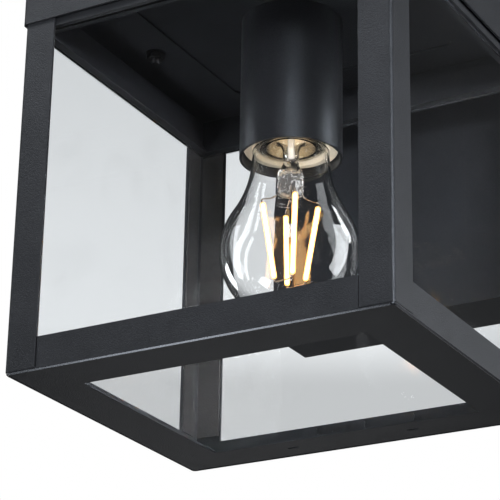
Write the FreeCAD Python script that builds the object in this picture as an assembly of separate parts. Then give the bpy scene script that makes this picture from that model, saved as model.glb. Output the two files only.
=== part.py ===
import FreeCAD, Part
import math
import os

# Box lantern on a wall box: a sheet-metal cage with four clear panes under a folded roof cap,
# an open bottom, and a screw-in bulb hanging from a tube at the ceiling. The roof reaches back
# over the cage to the wall box, so the rear pane stands clear of it.
# Millimetres. The sizes below are written in the lantern's own frame: X across, +Y towards the
# wall, Z up from the underside of the cage, with X = Y = 0 in the middle of the cage. At the end
# everything is moved so that the origin is the middle of the wall box on the wall.

# Sheet metal and fits
sheet = 1.0
cap_clearance = 0.15
bend_radius = 1.6
fastener_clearance = 0.25
seat_gap = 0.3
same_place = 0.01

# Cage
body_width = 173.1
body_depth = 147.4
post_leg_front = 14.7
post_leg_side = 15.4
rail_height = 14.0
rear_rail_height = 11.4
flange_width = 23.0
rear_flange_width = 20.2
tray_step = 0.3
tray_bend = 0.7
rail_end_gap = 0.4
drain_length = 5.5
drain_width = 1.6
drain_offset = 28.8
drain_inset = 11.2

# Ring round the top of the panes, folded as a channel that opens upwards
ring_drop = 19.2
ring_width = 8.0
ring_lip_height = 12.1
lip_cut_front = 11.0
lip_cut_side = 20.5

# Ceiling plate with its window
ceiling_level = 174.0
window_width = 109.0
window_depth = 107.4
window_corner = 5.0

# Panes, their sealing strips and their clips
pane_thickness = 3.0
pane_edge_gap = 0.5
strip_inset = 0.6
clip_width = 7.0
clip_height = 8.8
clip_foot = 8.0
clip_sheet = 0.8
clip_spacing = 23.5
clip_corner = 2.0

# Roof cap and the two studs that clamp the cage under it
roof_overhang = 25.0
cap_skirt_drop = 16.0
cap_rise = 24.0
cap_bend = 2.2
stud_diameter = 4.0
stud_reach = 67.0
stud_projection = 1.9
spacer_diameter = 8.0
washer_diameter = 9.0
washer_thickness = 0.5
nut_flats = 7.0
nut_thickness = 2.8

# Lamp plate, tube and lampholder
lamp_offset = 5.8
lamp_plate_margin = 8.0
lamp_plate_depth = 118.0
lamp_plate_corner = 4.0
tube_diameter = 44.4
tube_wall = 1.0
tube_length = 65.8
holder_diameter = 40.5
holder_length = 60.8
holder_bore = 30.4
holder_mouth_chamfer = 1.6
holder_neck_diameter = 26.0
holder_neck_length = 7.1
holder_shoulder = 6.0
chamber_diameter = 21.0
chamber_height = 16.0
holder_floor = 6.0
shell_diameter = 27.8
shell_wall = 0.4
shell_length = 27.0
shell_ring_bore = 13.0
contact_drop = 2.6
contact_diameter = 8.6
contact_sheet = 0.6
terminal_post_diameter = 3.2
terminal_post_rise = 2.0
live_post_offset = 2.1
nipple_wire_offset = 1.8
neutral_post_offset = 8.4
nipple_diameter = 10.0
nipple_bore = 7.6
nipple_rise = 2.5
locknut_flats = 14.0

# Bulb
bulb_diameter = 60.0
bulb_length = 106.0
bulb_neck_diameter = 33.4
bulb_waist_radius = 52.0
glass_wall = 0.8
bulb_cap_length = 27.0
bulb_cap_diameter = 26.2
bulb_thread_pitch = 3.62
bulb_thread_depth = 0.8
bulb_thread_turns = 5
bulb_cap_wall = 0.5
bulb_rim_diameter = 28.2
bulb_rim_height = 2.4
bulb_sleeve_length = 8.0
bulb_contact_diameter = 9.6
bulb_contact_height = 0.9
insulator_height = 2.8
stem_diameter = 7.0
stem_flare_rise = 5.0
stem_neck_rise = 10.0
pinch_length = 13.1
pinch_width = 11.0
pinch_thickness = 3.6
filament_diameter = 1.9
filament_count = 4
filament_length = 36.9
filament_top_radius = 12.3
filament_foot_radius = 6.4
filament_drop = 2.25
filament_turn = 38.0
support_wire_diameter = 0.6
support_wire_gap = 0.2
link_trim = 1.1
contact_seat = 0.3

# Wall box, bracket, terminal block and wiring
wall_box_width = 121.0
wall_box_depth = 31.0
wall_box_wall = 1.5
wall_box_height = 125.4
wall_box_rise = 20.0
wall_box_bend = 1.5
seal_thickness = 1.5
bracket_sheet = 1.5
bracket_height = 30.0
ear_height = 18.0
ear_depth = 16.0
ear_screw_inset = 9.0
wall_slot_spacing = 80.0
wall_slot_length = 12.0
wall_slot_width = 5.0
screw_diameter = 4.0
screw_head_diameter = 8.0
screw_head_height = 2.4
box_screw_spread = 28.0
box_screw_drop = 12.0
wire_diameter = 2.2
wire_bend_share = 0.45
wire_spread = 2.3
wire_rise = 9.0
earth_wire_rise = 3.4
grommet_bore = 9.0
grommet_groove = 12.4
grommet_flange = 15.6
grommet_lip = 1.5
terminal_pitch = 10.0
terminal_width = 32.0
terminal_depth = 12.0
terminal_height = 16.0
terminal_drop = 29.0
terminal_hole = 3.0
terminal_screw_diameter = 3.6
terminal_screw_length = 4.0
wire_entry = 4.0
earth_stud_reach = 28.0
earth_stud_offset = 26.0
earth_stud_height = 8.5
lug_ring_diameter = 8.4
lug_sheet = 0.8
lug_barrel_diameter = 3.6
lug_barrel_length = 6.0

# Levels and places that follow from the sizes above
half_width = body_width / 2
half_depth = body_depth / 2
rail_inset = sheet
pane_inset = 2 * sheet
clip_inset = pane_inset + pane_thickness
pane_foot = sheet
ring_level = ceiling_level - ring_drop
pane_top = ring_level - pane_edge_gap
cap_overhang = cap_clearance + sheet
cap_half_width = half_width + cap_overhang
cap_half_depth = half_depth + cap_overhang
cap_skirt_level = ceiling_level - cap_skirt_drop
cap_top_level = ceiling_level + cap_rise
cap_underside = cap_top_level - sheet
cap_rear = cap_half_depth + roof_overhang
lamp_plate_level = ceiling_level + sheet
lamp_plate_top = lamp_plate_level + sheet
stud_tip = ceiling_level - washer_thickness - nut_thickness - stud_projection
tube_top = lamp_plate_level
tube_mouth = tube_top - tube_length
holder_top = tube_top - tube_wall
holder_mouth = holder_top - holder_length
chamber_top = holder_top - holder_neck_length
chamber_floor = chamber_top - chamber_height
floor_underside = chamber_floor - holder_floor
post_top = chamber_floor + terminal_post_rise
contact_face = floor_underside - contact_drop - contact_sheet
bulb_tip = contact_face - contact_seat
bulb_bottom = bulb_tip - bulb_length
bulb_rim = bulb_tip - bulb_cap_length
box_front = cap_rear
box_inner_front = box_front + wall_box_wall
wall_plane = box_front + wall_box_depth
box_rim = wall_plane - seal_thickness
box_half_width = wall_box_width / 2
wall_box_top = ceiling_level + wall_box_rise
wall_box_bottom = wall_box_top - wall_box_height
box_middle = (wall_box_bottom + wall_box_top) / 2
box_screw_level = wall_box_top - box_screw_drop
wire_level = ceiling_level + wire_rise
grommet_level = wire_level + earth_wire_rise / 3
wire_rise_plane = box_inner_front + terminal_depth / 2
terminal_top = wire_level - terminal_drop
lug_level = lamp_plate_top + lug_sheet
barrel_level = lamp_plate_top + lug_barrel_diameter / 2


def block(x0, x1, y0, y1, z0, z1):
    return Part.makeBox(x1 - x0, y1 - y0, z1 - z0, FreeCAD.Vector(x0, y0, z0))


def centred(half_x, half_y, z0, z1):
    return block(-half_x, half_x, -half_y, half_y, z0, z1)


def upright(diameter, z0, z1, x=0.0, y=0.0):
    return Part.makeCylinder(diameter / 2, z1 - z0, FreeCAD.Vector(x, y, z0))


def along(diameter, start, end):
    run = end - start
    return Part.makeCylinder(diameter / 2, run.Length, start, run)


def face_of(points, arcs=()):
    """Face with straight sides; arcs maps the start index of a side to a point on its arc."""
    arcs = dict(arcs)
    edges = []
    for index, start in enumerate(points):
        end = points[(index + 1) % len(points)]
        if index in arcs:
            edges.append(Part.Arc(start, arcs[index], end).toShape())
        else:
            edges.append(Part.LineSegment(start, end).toShape())
    return Part.Face(Part.Wire(edges))


def turned(profile, arcs=()):
    """Solid of revolution about the Z axis from (radius, height) points."""
    points = [FreeCAD.Vector(r, 0, z) for r, z in profile]
    bulges = {index: FreeCAD.Vector(r, 0, z) for index, (r, z) in dict(arcs).items()}
    return face_of(points, bulges).revolve(FreeCAD.Vector(), FreeCAD.Vector(0, 0, 1), 360)


def rounded_block(half_x, y0, y1, radius, z0, z1):
    plate = block(-half_x, half_x, y0, y1, z0, z1)
    return plate.makeFillet(radius, upright_edges(plate))


def rounded_plate(half_x, half_y, radius, z0, z1):
    return rounded_block(half_x, -half_y, half_y, radius, z0, z1)


def upright_edges(shape):
    return [edge for edge in shape.Edges if abs(edge.tangentAt(edge.FirstParameter).z) > 0.99]


def edges_at(shape, level):
    """Edges that lie flat at one level."""
    flat = [edge for edge in shape.Edges if edge.BoundBox.ZLength < same_place]
    return [edge for edge in flat if abs(edge.BoundBox.ZMin - level) < same_place]


def slot_cutter(length, width, height, centre):
    """Upright stadium, long side along X, standing on centre."""
    reach = (length - width) / 2
    body = block(-reach, reach, -width / 2, width / 2, 0, height)
    ends = [upright(width, 0, height, side * reach) for side in (-1, 1)]
    cutter = body.fuse(ends).removeSplitter()
    cutter.translate(centre)
    return cutter


def hex_nut(flats, thickness, bore):
    radius = flats / math.sqrt(3)
    corners = []
    for step in range(6):
        angle = math.radians(60 * step)
        corners.append(FreeCAD.Vector(radius * math.cos(angle), radius * math.sin(angle), 0))
    nut = face_of(corners).extrude(FreeCAD.Vector(0, 0, thickness))
    return nut.cut(upright(bore, 0, thickness))


def pan_screw(diameter, length, head_diameter, head_height):
    """Screw standing on its head's underside: head above Z = 0, shank below."""
    edge = head_height / 2
    profile = [
        (0, -length),
        (diameter / 2, -length),
        (diameter / 2, 0),
        (head_diameter / 2, 0),
        (head_diameter / 2, head_height - edge),
        (head_diameter / 2 - edge, head_height),
        (0, head_height),
    ]
    lean = edge * (1 - math.sqrt(0.5))
    return turned(profile, {4: (head_diameter / 2 - lean, head_height - lean)})


def aim(shape, direction, place):
    """Turn a shape built along +Z to a direction and set it down at a place."""
    rotation = FreeCAD.Rotation(FreeCAD.Vector(0, 0, 1), direction)
    moved = shape.copy()
    moved.Placement = FreeCAD.Placement(place, rotation)
    return moved


def mirrored_pair(shape):
    return Part.makeCompound([shape, shape.mirror(FreeCAD.Vector(), FreeCAD.Vector(1, 0, 0))])


def wire_tube(points, diameter):
    """Round wire along straight runs joined by tangent arcs, each as large as its runs allow."""
    edges = []
    start = points[0]
    for before, corner, after in zip(points, points[1:], points[2:]):
        incoming = (before - corner).normalize()
        outgoing = (after - corner).normalize()
        half_turn = (math.pi - incoming.getAngle(outgoing)) / 2
        setback = wire_bend_share * min((before - corner).Length, (after - corner).Length)
        radius = setback / math.tan(half_turn)
        bisector = (incoming + outgoing).normalize()
        middle = corner + bisector * (radius / math.cos(half_turn) - radius)
        arc_start = corner + incoming * setback
        arc_end = corner + outgoing * setback
        edges.append(Part.LineSegment(start, arc_start).toShape())
        edges.append(Part.Arc(arc_start, middle, arc_end).toShape())
        start = arc_end
        print("wire bend radius %.1f mm" % radius)
    edges.append(Part.LineSegment(start, points[-1]).toShape())
    section = Part.Wire(Part.makeCircle(diameter / 2, points[0], points[1] - points[0]))
    return Part.Wire(edges).makePipeShell([section], True, False)


def corner_post(side_x, side_y):
    """Angle section with a rounded outer bend, standing on one corner of the cage."""
    lean = bend_radius * (1 - math.sqrt(0.5))
    outline = [
        (bend_radius, 0),
        (post_leg_front, 0),
        (post_leg_front, sheet),
        (sheet, sheet),
        (sheet, post_leg_side),
        (0, post_leg_side),
        (0, bend_radius),
    ]
    points = []
    for x, y in outline:
        points.append(FreeCAD.Vector(side_x * (half_width - x), side_y * (half_depth - y), sheet))
    bulge = FreeCAD.Vector(side_x * (half_width - lean), side_y * (half_depth - lean), sheet)
    return face_of(points, {6: bulge}).extrude(FreeCAD.Vector(0, 0, ceiling_level - sheet))


def bottom_frame():
    """Tray under the posts: flange round the open window, rails between the posts, two drain slots.

    The rail on the wall side stands lower than the other three.
    """
    reach_x = half_width - tray_step
    reach_y = half_depth - tray_step
    flange = centred(reach_x, reach_y, 0, sheet)
    flange = flange.makeFillet(bend_radius, upright_edges(flange))
    flange = flange.makeFillet(tray_bend, edges_at(flange, 0))
    behind_posts = centred(half_width - rail_inset, half_depth - rail_inset, sheet, rail_height)
    rail_reach = half_width - post_leg_front - rail_end_gap
    front_rails = centred(rail_reach, reach_y, sheet, rail_height)
    side_rails = centred(reach_x, half_depth - post_leg_side - rail_end_gap, sheet, rail_height)
    tray = flange.fuse([behind_posts, front_rails, side_rails]).removeSplitter()
    inside = centred(half_width - rail_inset - sheet, half_depth - rail_inset - sheet, sheet, rail_height)
    window_reach = half_width - flange_width
    window_front = flange_width - half_depth
    window_rear = half_depth - rear_flange_width
    window = block(-window_reach, window_reach, window_front, window_rear, 0, sheet)
    rear_inner = half_depth - rail_inset - sheet
    rear_drop = block(-rail_reach, rail_reach, rear_inner, half_depth, rear_rail_height, rail_height)
    drains = []
    for side in (-1, 1):
        place = FreeCAD.Vector(side * drain_offset, half_depth - drain_inset, 0)
        drains.append(slot_cutter(drain_length, drain_width, sheet, place))
    return tray.cut([inside, window, rear_drop] + drains)


def ring_lip(half_run, end_cut, inner_face):
    """Inner wall of the channel on the -Y side, with its ends cut back to the top."""
    top = ring_level + ring_lip_height
    outline = [
        (-half_run, ring_level),
        (half_run, ring_level),
        (half_run - end_cut, top),
        (end_cut - half_run, top),
    ]
    points = [FreeCAD.Vector(x, -inner_face, z) for x, z in outline]
    return face_of(points).extrude(FreeCAD.Vector(0, -sheet, 0))


def top_frame():
    """Channel ring over the panes: outer wall to the ceiling, web, and inner lips."""
    outer_x = half_width - rail_inset
    outer_y = half_depth - rail_inset
    wall = centred(outer_x, outer_y, ring_level, ceiling_level)
    wall = wall.cut(centred(outer_x - sheet, outer_y - sheet, ring_level, ceiling_level))
    inner_x = half_width - ring_width
    inner_y = half_depth - ring_width
    web = centred(outer_x, outer_y, ring_level, ring_level + sheet)
    web = web.cut(centred(inner_x, inner_y, ring_level, ring_level + sheet))
    front_lip = ring_lip(inner_x, lip_cut_front, inner_y)
    side_lip = ring_lip(inner_y, lip_cut_side, inner_x)
    lips = []
    for lip, turn in ((front_lip, 0), (front_lip, 180), (side_lip, 90), (side_lip, 270)):
        turned_lip = lip.copy()
        turned_lip.rotate(FreeCAD.Vector(), FreeCAD.Vector(0, 0, 1), turn)
        lips.append(turned_lip)
    return wall.fuse([web] + lips).removeSplitter()


def stud_holes(z0, z1):
    return [upright(stud_diameter + 2 * fastener_clearance, z0, z1, side * stud_reach) for side in (-1, 1)]


def ceiling_plate():
    """Plate on top of the cage that runs on under the roof to its rear skirt."""
    rear = cap_rear - cap_overhang
    plate = rounded_block(half_width, -half_depth, rear, bend_radius, ceiling_level, lamp_plate_level)
    window = rounded_plate(window_width / 2, window_depth / 2, window_corner, ceiling_level, lamp_plate_level)
    return plate.cut([window] + stud_holes(ceiling_level, lamp_plate_level))


def front_pane(side):
    reach = half_width - pane_inset - pane_edge_gap
    outer = half_depth - pane_inset
    low, high = sorted((side * outer, side * (outer - pane_thickness)))
    return block(-reach, reach, low, high, pane_foot, pane_top)


def side_pane(side):
    reach = half_depth - clip_inset - pane_edge_gap
    outer = half_width - pane_inset
    low, high = sorted((side * outer, side * (outer - pane_thickness)))
    return block(low, high, -reach, reach, pane_foot, pane_top)


def sealing_strips():
    """Adhesive strips between the legs of the posts and the panes behind them."""
    low = rail_height + seat_gap
    high = ring_level - seat_gap
    front_outer = half_width - pane_inset - pane_edge_gap - strip_inset
    front_inner = half_width - post_leg_front + strip_inset
    side_outer = half_depth - clip_inset - pane_edge_gap - strip_inset
    side_inner = half_depth - post_leg_side + strip_inset
    strips = []
    for side_x in (-1, 1):
        for side_y in (-1, 1):
            x0, x1 = sorted((side_x * front_inner, side_x * front_outer))
            y0, y1 = sorted((side_y * (half_depth - sheet), side_y * (half_depth - pane_inset)))
            strips.append(block(x0, x1, y0, y1, low, high))
            x0, x1 = sorted((side_x * (half_width - sheet), side_x * (half_width - pane_inset)))
            y0, y1 = sorted((side_y * side_inner, side_y * side_outer))
            strips.append(block(x0, x1, y0, y1, low, high))
    return Part.makeCompound(strips)


def pane_clip():
    """Bent tab on the flange behind the -Y pane, with rounded upper corners, centred on X = 0."""
    back = clip_sheet - half_depth + clip_inset
    tongue = block(-clip_width / 2, clip_width / 2, back - clip_sheet, back, sheet, sheet + clip_height)
    top_corners = []
    for edge in edges_at(tongue, sheet + clip_height):
        if edge.BoundBox.XLength < same_place:
            top_corners.append(edge)
    tongue = tongue.makeFillet(clip_corner, top_corners)
    foot = block(-clip_width / 2, clip_width / 2, back - clip_sheet, back - clip_sheet + clip_foot,
                 sheet, sheet + clip_sheet)
    return tongue.fuse(foot).removeSplitter()


def pane_clips():
    clips = []
    for step in (-1, 0, 1):
        for turn, shift in ((0, 0), (180, 0), (90, 1), (270, 1)):
            clip = pane_clip()
            clip.translate(FreeCAD.Vector(step * clip_spacing, shift * (half_depth - half_width), 0))
            clip.rotate(FreeCAD.Vector(), FreeCAD.Vector(0, 0, 1), turn)
            clips.append(clip)
    return Part.makeCompound(clips)


def rear_holes(y0, y1):
    """Holes for the grommet and the two box screws, bored along Y."""
    holes = [along(grommet_groove + fastener_clearance, FreeCAD.Vector(0, y0, grommet_level),
                   FreeCAD.Vector(0, y1, grommet_level))]
    for side in (-1, 1):
        x = side * box_screw_spread
        holes.append(along(screw_diameter + 2 * fastener_clearance, FreeCAD.Vector(x, y0, box_screw_level),
                           FreeCAD.Vector(x, y1, box_screw_level)))
    return holes


def roof_cap():
    """Folded lid: flat roof, a skirt that hangs over the top of the cage, and a shorter one behind it."""
    outer = rounded_block(cap_half_width, -cap_half_depth, cap_rear, cap_bend, cap_skirt_level, cap_top_level)
    outer = outer.makeFillet(cap_bend, edges_at(outer, cap_top_level))
    inside = rounded_block(cap_half_width - sheet, sheet - cap_half_depth, cap_rear - sheet, cap_bend - sheet,
                           cap_skirt_level, cap_underside)
    behind_cage = block(-cap_half_width, cap_half_width, cap_half_depth, cap_rear,
                        cap_skirt_level, ceiling_level)
    return outer.cut([inside, behind_cage] + rear_holes(cap_rear - sheet, cap_rear))


def cap_studs():
    return mirrored_pair(upright(stud_diameter, stud_tip, cap_underside, stud_reach))


def stud_spacers():
    tube = upright(spacer_diameter, lamp_plate_top, cap_underside, stud_reach)
    bore = upright(stud_diameter + 2 * fastener_clearance, lamp_plate_top, cap_underside, stud_reach)
    return mirrored_pair(tube.cut(bore))


def stud_washers():
    low = ceiling_level - washer_thickness
    disc = upright(washer_diameter, low, ceiling_level, stud_reach)
    bore = upright(stud_diameter + 2 * fastener_clearance, low, ceiling_level, stud_reach)
    return mirrored_pair(disc.cut(bore))


def stud_nuts():
    nut = hex_nut(nut_flats, nut_thickness, stud_diameter + fastener_clearance)
    nut.translate(FreeCAD.Vector(stud_reach, 0, ceiling_level - washer_thickness - nut_thickness))
    return mirrored_pair(nut)


def lamp_plate():
    plate = rounded_plate(stud_reach + lamp_plate_margin, lamp_plate_depth / 2, lamp_plate_corner,
                          lamp_plate_level, lamp_plate_top)
    entry = on_lamp_axis(upright(nipple_diameter + 2 * fastener_clearance, lamp_plate_level, lamp_plate_top))
    return plate.cut([entry] + stud_holes(lamp_plate_level, lamp_plate_top))


def on_lamp_axis(shape):
    shape.translate(FreeCAD.Vector(0, lamp_offset, 0))
    return shape


def lamp_tube():
    """Drawn cup with its closed end against the lamp plate."""
    cup = upright(tube_diameter, tube_mouth, tube_top)
    inside = upright(tube_diameter - 2 * tube_wall, tube_mouth, tube_top - tube_wall)
    entry = upright(nipple_diameter + 2 * fastener_clearance, tube_mouth, tube_top)
    return on_lamp_axis(cup.cut([inside, entry]))


def post_hole(offset):
    return upright(terminal_post_diameter + fastener_clearance, floor_underside, chamber_floor, offset)


def lampholder_body():
    """Turned insulating body: open mouth, floor with two contact holes, wiring chamber and neck."""
    outer = holder_diameter / 2
    bore = holder_bore / 2
    neck = holder_neck_diameter / 2
    chamber = chamber_diameter / 2
    nipple_seat = nipple_diameter / 2 + fastener_clearance / 2
    shoulder = chamber_top - holder_shoulder
    lower = turned([
        (bore + holder_mouth_chamfer, holder_mouth),
        (outer, holder_mouth),
        (outer, shoulder),
        (neck, chamber_top),
        (neck, holder_top),
        (nipple_seat, holder_top),
        (nipple_seat, chamber_top),
        (chamber, chamber_top),
        (chamber, chamber_floor),
        (0, chamber_floor),
        (0, floor_underside),
        (bore, floor_underside),
        (bore, holder_mouth + holder_mouth_chamfer),
    ])
    return on_lamp_axis(lower.cut([post_hole(-live_post_offset), post_hole(neutral_post_offset)]))


def holder_screw_shell():
    """Threaded shell of the lampholder with its ring under the floor and its terminal post."""
    outer = shell_diameter / 2
    inner = outer - shell_wall
    low = floor_underside - shell_length
    ring = shell_ring_bore / 2
    shell = turned([
        (inner, low),
        (outer, low),
        (outer, floor_underside),
        (ring, floor_underside),
        (ring, floor_underside - shell_wall),
        (inner, floor_underside - shell_wall),
    ])
    post = upright(terminal_post_diameter, floor_underside - shell_wall, post_top, neutral_post_offset)
    return on_lamp_axis(shell.fuse(post).removeSplitter())


def holder_contact():
    """Centre contact: a leaf over the bulb's tip on a post through the floor."""
    leaf = upright(contact_diameter, contact_face, contact_face + contact_sheet)
    post = upright(terminal_post_diameter, contact_face, post_top, -live_post_offset)
    return on_lamp_axis(leaf.fuse(post).removeSplitter())


def nipple():
    tube = upright(nipple_diameter, chamber_top, lamp_plate_top + nipple_rise)
    return on_lamp_axis(tube.cut(upright(nipple_bore, chamber_top, lamp_plate_top + nipple_rise)))


def nipple_locknut():
    nut = hex_nut(locknut_flats, nipple_rise, nipple_diameter + fastener_clearance)
    nut.translate(FreeCAD.Vector(0, 0, lamp_plate_top))
    return on_lamp_axis(nut)


def bulb_side(offset):
    """Globe, waist and neck of the bulb drawn in by offset: the points and the arcs' middles."""
    globe = bulb_diameter / 2
    centre = bulb_bottom + globe
    neck = bulb_neck_diameter / 2
    rise = math.sqrt((globe + bulb_waist_radius) ** 2 - (neck + bulb_waist_radius) ** 2)
    lean = math.atan2(rise, neck + bulb_waist_radius)
    radius = globe - offset
    waist = bulb_waist_radius + offset
    waist_x = neck + bulb_waist_radius
    waist_z = centre + rise
    swell = (lean - math.pi / 2) / 2
    draw = lean / 2
    return {
        "foot": (0, centre - radius),
        "globe": (radius * math.cos(swell), centre + radius * math.sin(swell)),
        "join": (radius * math.cos(lean), centre + radius * math.sin(lean)),
        "waist": (waist_x - waist * math.cos(draw), waist_z - waist * math.sin(draw)),
        "neck": (neck - offset, waist_z),
    }


def bulb_glass():
    """Blown shell: round globe, drawn-in waist, neck, and a sleeve inside the cap."""
    outside = bulb_side(0)
    inside = bulb_side(glass_wall)
    sleeve = bulb_cap_diameter / 2 - bulb_thread_depth - bulb_cap_wall - fastener_clearance
    shoulder = bulb_rim - bulb_rim_height
    sleeve_top = bulb_rim + bulb_sleeve_length
    rim = bulb_rim_diameter / 2
    profile = [
        outside["foot"],
        outside["join"],
        outside["neck"],
        (outside["neck"][0], shoulder),
        (rim, bulb_rim - seat_gap),
        (sleeve, bulb_rim - seat_gap),
        (sleeve, sleeve_top),
        (sleeve - glass_wall, sleeve_top),
        (sleeve - glass_wall, bulb_rim - seat_gap - glass_wall),
        (rim - glass_wall, bulb_rim - seat_gap - glass_wall),
        (inside["neck"][0], shoulder - glass_wall / 2),
        inside["neck"],
        inside["join"],
        inside["foot"],
    ]
    arcs = {0: outside["globe"], 1: outside["waist"], 11: inside["waist"], 12: inside["globe"]}
    return on_lamp_axis(turned(profile, arcs))


def bulb_cap():
    """Metal screw cap with a flared rim and rolled thread rings."""
    crest = bulb_cap_diameter / 2
    root = crest - bulb_thread_depth
    inner = root - bulb_cap_wall
    rim = bulb_rim_diameter / 2
    top = bulb_tip - bulb_contact_height - insulator_height
    thread_foot = top - bulb_thread_turns * bulb_thread_pitch
    profile = [(inner, bulb_rim), (rim, bulb_rim), (rim, bulb_rim + bulb_cap_wall), (root, thread_foot)]
    for turn in range(bulb_thread_turns):
        low = thread_foot + turn * bulb_thread_pitch
        profile.append((crest, low + bulb_thread_pitch / 2))
        profile.append((root, low + bulb_thread_pitch))
    profile.append((inner, top))
    return on_lamp_axis(turned(profile))


def bulb_insulator():
    """Glass button that closes the cap and carries the tip."""
    root = bulb_cap_diameter / 2 - bulb_thread_depth
    low = bulb_tip - bulb_contact_height - insulator_height
    high = bulb_tip - bulb_contact_height
    tip = bulb_contact_diameter / 2
    inner = root - bulb_cap_wall - fastener_clearance
    profile = [
        (0, low - bulb_cap_wall),
        (inner, low - bulb_cap_wall),
        (inner, low),
        (root, low),
        (tip, high),
        (0, high),
    ]
    return on_lamp_axis(turned(profile))


def bulb_contact():
    tip = bulb_contact_diameter / 2
    base = bulb_tip - bulb_contact_height
    profile = [(0, base), (tip, base), (tip - bulb_contact_height, bulb_tip), (0, bulb_tip)]
    return on_lamp_axis(turned(profile))


def pinch_levels():
    top = bulb_rim - stem_neck_rise - seat_gap
    return top - pinch_length, top


def bulb_stem():
    """Glass stem: flare at the sleeve, tube, and the flat pinch that holds the wires."""
    low, top = pinch_levels()
    radius = stem_diameter / 2
    sleeve = bulb_cap_diameter / 2 - bulb_thread_depth - bulb_cap_wall - fastener_clearance - glass_wall
    flare = sleeve - seat_gap
    flare_top = bulb_rim + stem_flare_rise
    tube = turned([(0, top), (radius, top), (radius, bulb_rim), (flare, flare_top), (0, flare_top)])
    pinch = centred(pinch_width / 2, pinch_thickness / 2, low, top + radius)
    pinch = pinch.makeFillet(pinch_thickness / 3, upright_edges(pinch))
    pinch.rotate(FreeCAD.Vector(), FreeCAD.Vector(0, 0, 1), filament_turn)
    return on_lamp_axis(tube.fuse(pinch).removeSplitter())


def filament_ends(step):
    """Upper and lower end of one filament, in the bulb's axis frame."""
    crown = pinch_levels()[0] - filament_drop
    angle = math.radians(filament_turn + 360 * step / filament_count)
    spread = filament_top_radius - filament_foot_radius
    drop = math.sqrt(filament_length ** 2 - spread ** 2)
    outward = FreeCAD.Vector(math.cos(angle), math.sin(angle), 0)
    top = outward * filament_top_radius + FreeCAD.Vector(0, 0, crown)
    foot = outward * filament_foot_radius + FreeCAD.Vector(0, 0, crown - drop)
    return top, foot, outward


def bulb_filaments():
    rods = []
    for step in range(filament_count):
        top, foot, _ = filament_ends(step)
        rods.append(along(filament_diameter, foot, top))
    return on_lamp_axis(Part.makeCompound(rods))


def bulb_support_wires():
    """Wires from the pinch to the filaments' upper ends, and links between their lower ends."""
    level = FreeCAD.Vector(0, 0, pinch_levels()[0] + support_wire_diameter)
    stand_off = (filament_diameter + support_wire_diameter) / 2 + support_wire_gap
    wires = []
    for step in range(filament_count):
        top, _, outward = filament_ends(step)
        reach = pinch_width / 2 if step % 2 == 0 else pinch_thickness / 2
        start = outward * (reach + support_wire_gap) + level
        wires.append(along(support_wire_diameter, start, top - outward * stand_off))
    for step in range(0, filament_count, 2):
        first = filament_ends(step)[1]
        second = filament_ends(step + 1)[1]
        trim = (second - first).normalize() * stand_off * link_trim
        lift = FreeCAD.Vector(0, 0, support_wire_diameter)
        wires.append(along(support_wire_diameter, first + trim + lift, second - trim + lift))
    return on_lamp_axis(Part.makeCompound(wires))


def box_outline(y0, y1):
    """Rounded upright rectangle of the wall box, from y0 to y1."""
    solid = block(-box_half_width, box_half_width, y0, y1, wall_box_bottom, wall_box_top)
    corners = [edge for edge in solid.Edges if edge.BoundBox.YLength > (y1 - y0) / 2]
    return solid.makeFillet(wall_box_bend, corners)


def wall_box():
    """Housing behind the lantern, open to the wall, with its front on the roof cap's rear skirt."""
    outer = box_outline(box_front, box_rim)
    inside = block(wall_box_wall - box_half_width, box_half_width - wall_box_wall, box_inner_front, box_rim,
                   wall_box_bottom + wall_box_wall, wall_box_top - wall_box_wall)
    bore = along(screw_diameter + 2 * fastener_clearance,
                 FreeCAD.Vector(-box_half_width, wall_plane - ear_screw_inset, box_middle),
                 FreeCAD.Vector(box_half_width, wall_plane - ear_screw_inset, box_middle))
    return outer.cut([inside, bore] + rear_holes(box_front, box_inner_front))


def wall_box_seal():
    """Foam seal between the rim of the wall box and the wall."""
    ring = box_outline(box_rim, wall_plane)
    inside = block(wall_box_wall - box_half_width, box_half_width - wall_box_wall, box_rim, wall_plane,
                   wall_box_bottom + wall_box_wall, wall_box_top - wall_box_wall)
    return ring.cut(inside)


def wall_bracket():
    """Strap screwed to the wall through two slots, with an ear at each end for the box's side screws."""
    reach = box_half_width - wall_box_wall - seat_gap
    back = wall_plane - bracket_sheet
    low = box_middle - bracket_height / 2
    plate = block(-reach, reach, back, wall_plane, low, low + bracket_height)
    ears = []
    for side in (-1, 1):
        x0, x1 = sorted((side * reach, side * (reach - bracket_sheet)))
        ear_low = box_middle - ear_height / 2
        ears.append(block(x0, x1, wall_plane - ear_depth, wall_plane, ear_low, ear_low + ear_height))
    bracket = plate.fuse(ears).removeSplitter()
    cuts = [along(screw_diameter + fastener_clearance,
                  FreeCAD.Vector(-reach, wall_plane - ear_screw_inset, box_middle),
                  FreeCAD.Vector(reach, wall_plane - ear_screw_inset, box_middle))]
    for side in (-1, 1):
        slot = slot_cutter(wall_slot_length, wall_slot_width, bracket_sheet, FreeCAD.Vector())
        slot.rotate(FreeCAD.Vector(), FreeCAD.Vector(1, 0, 0), -90)
        slot.translate(FreeCAD.Vector(side * wall_slot_spacing / 2, back, box_middle))
        cuts.append(slot)
    return bracket.cut(cuts)


def bracket_screws():
    length = wall_box_wall + seat_gap + 2 * bracket_sheet
    screw = pan_screw(screw_diameter, length, screw_head_diameter, screw_head_height)
    place = FreeCAD.Vector(box_half_width, wall_plane - ear_screw_inset, box_middle)
    return mirrored_pair(aim(screw, FreeCAD.Vector(1, 0, 0), place))


def box_screws():
    length = wall_box_wall + sheet + nut_thickness + sheet
    screw = pan_screw(screw_diameter, length, screw_head_diameter, screw_head_height)
    place = FreeCAD.Vector(box_screw_spread, box_inner_front, box_screw_level)
    return mirrored_pair(aim(screw, FreeCAD.Vector(0, 1, 0), place))


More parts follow.
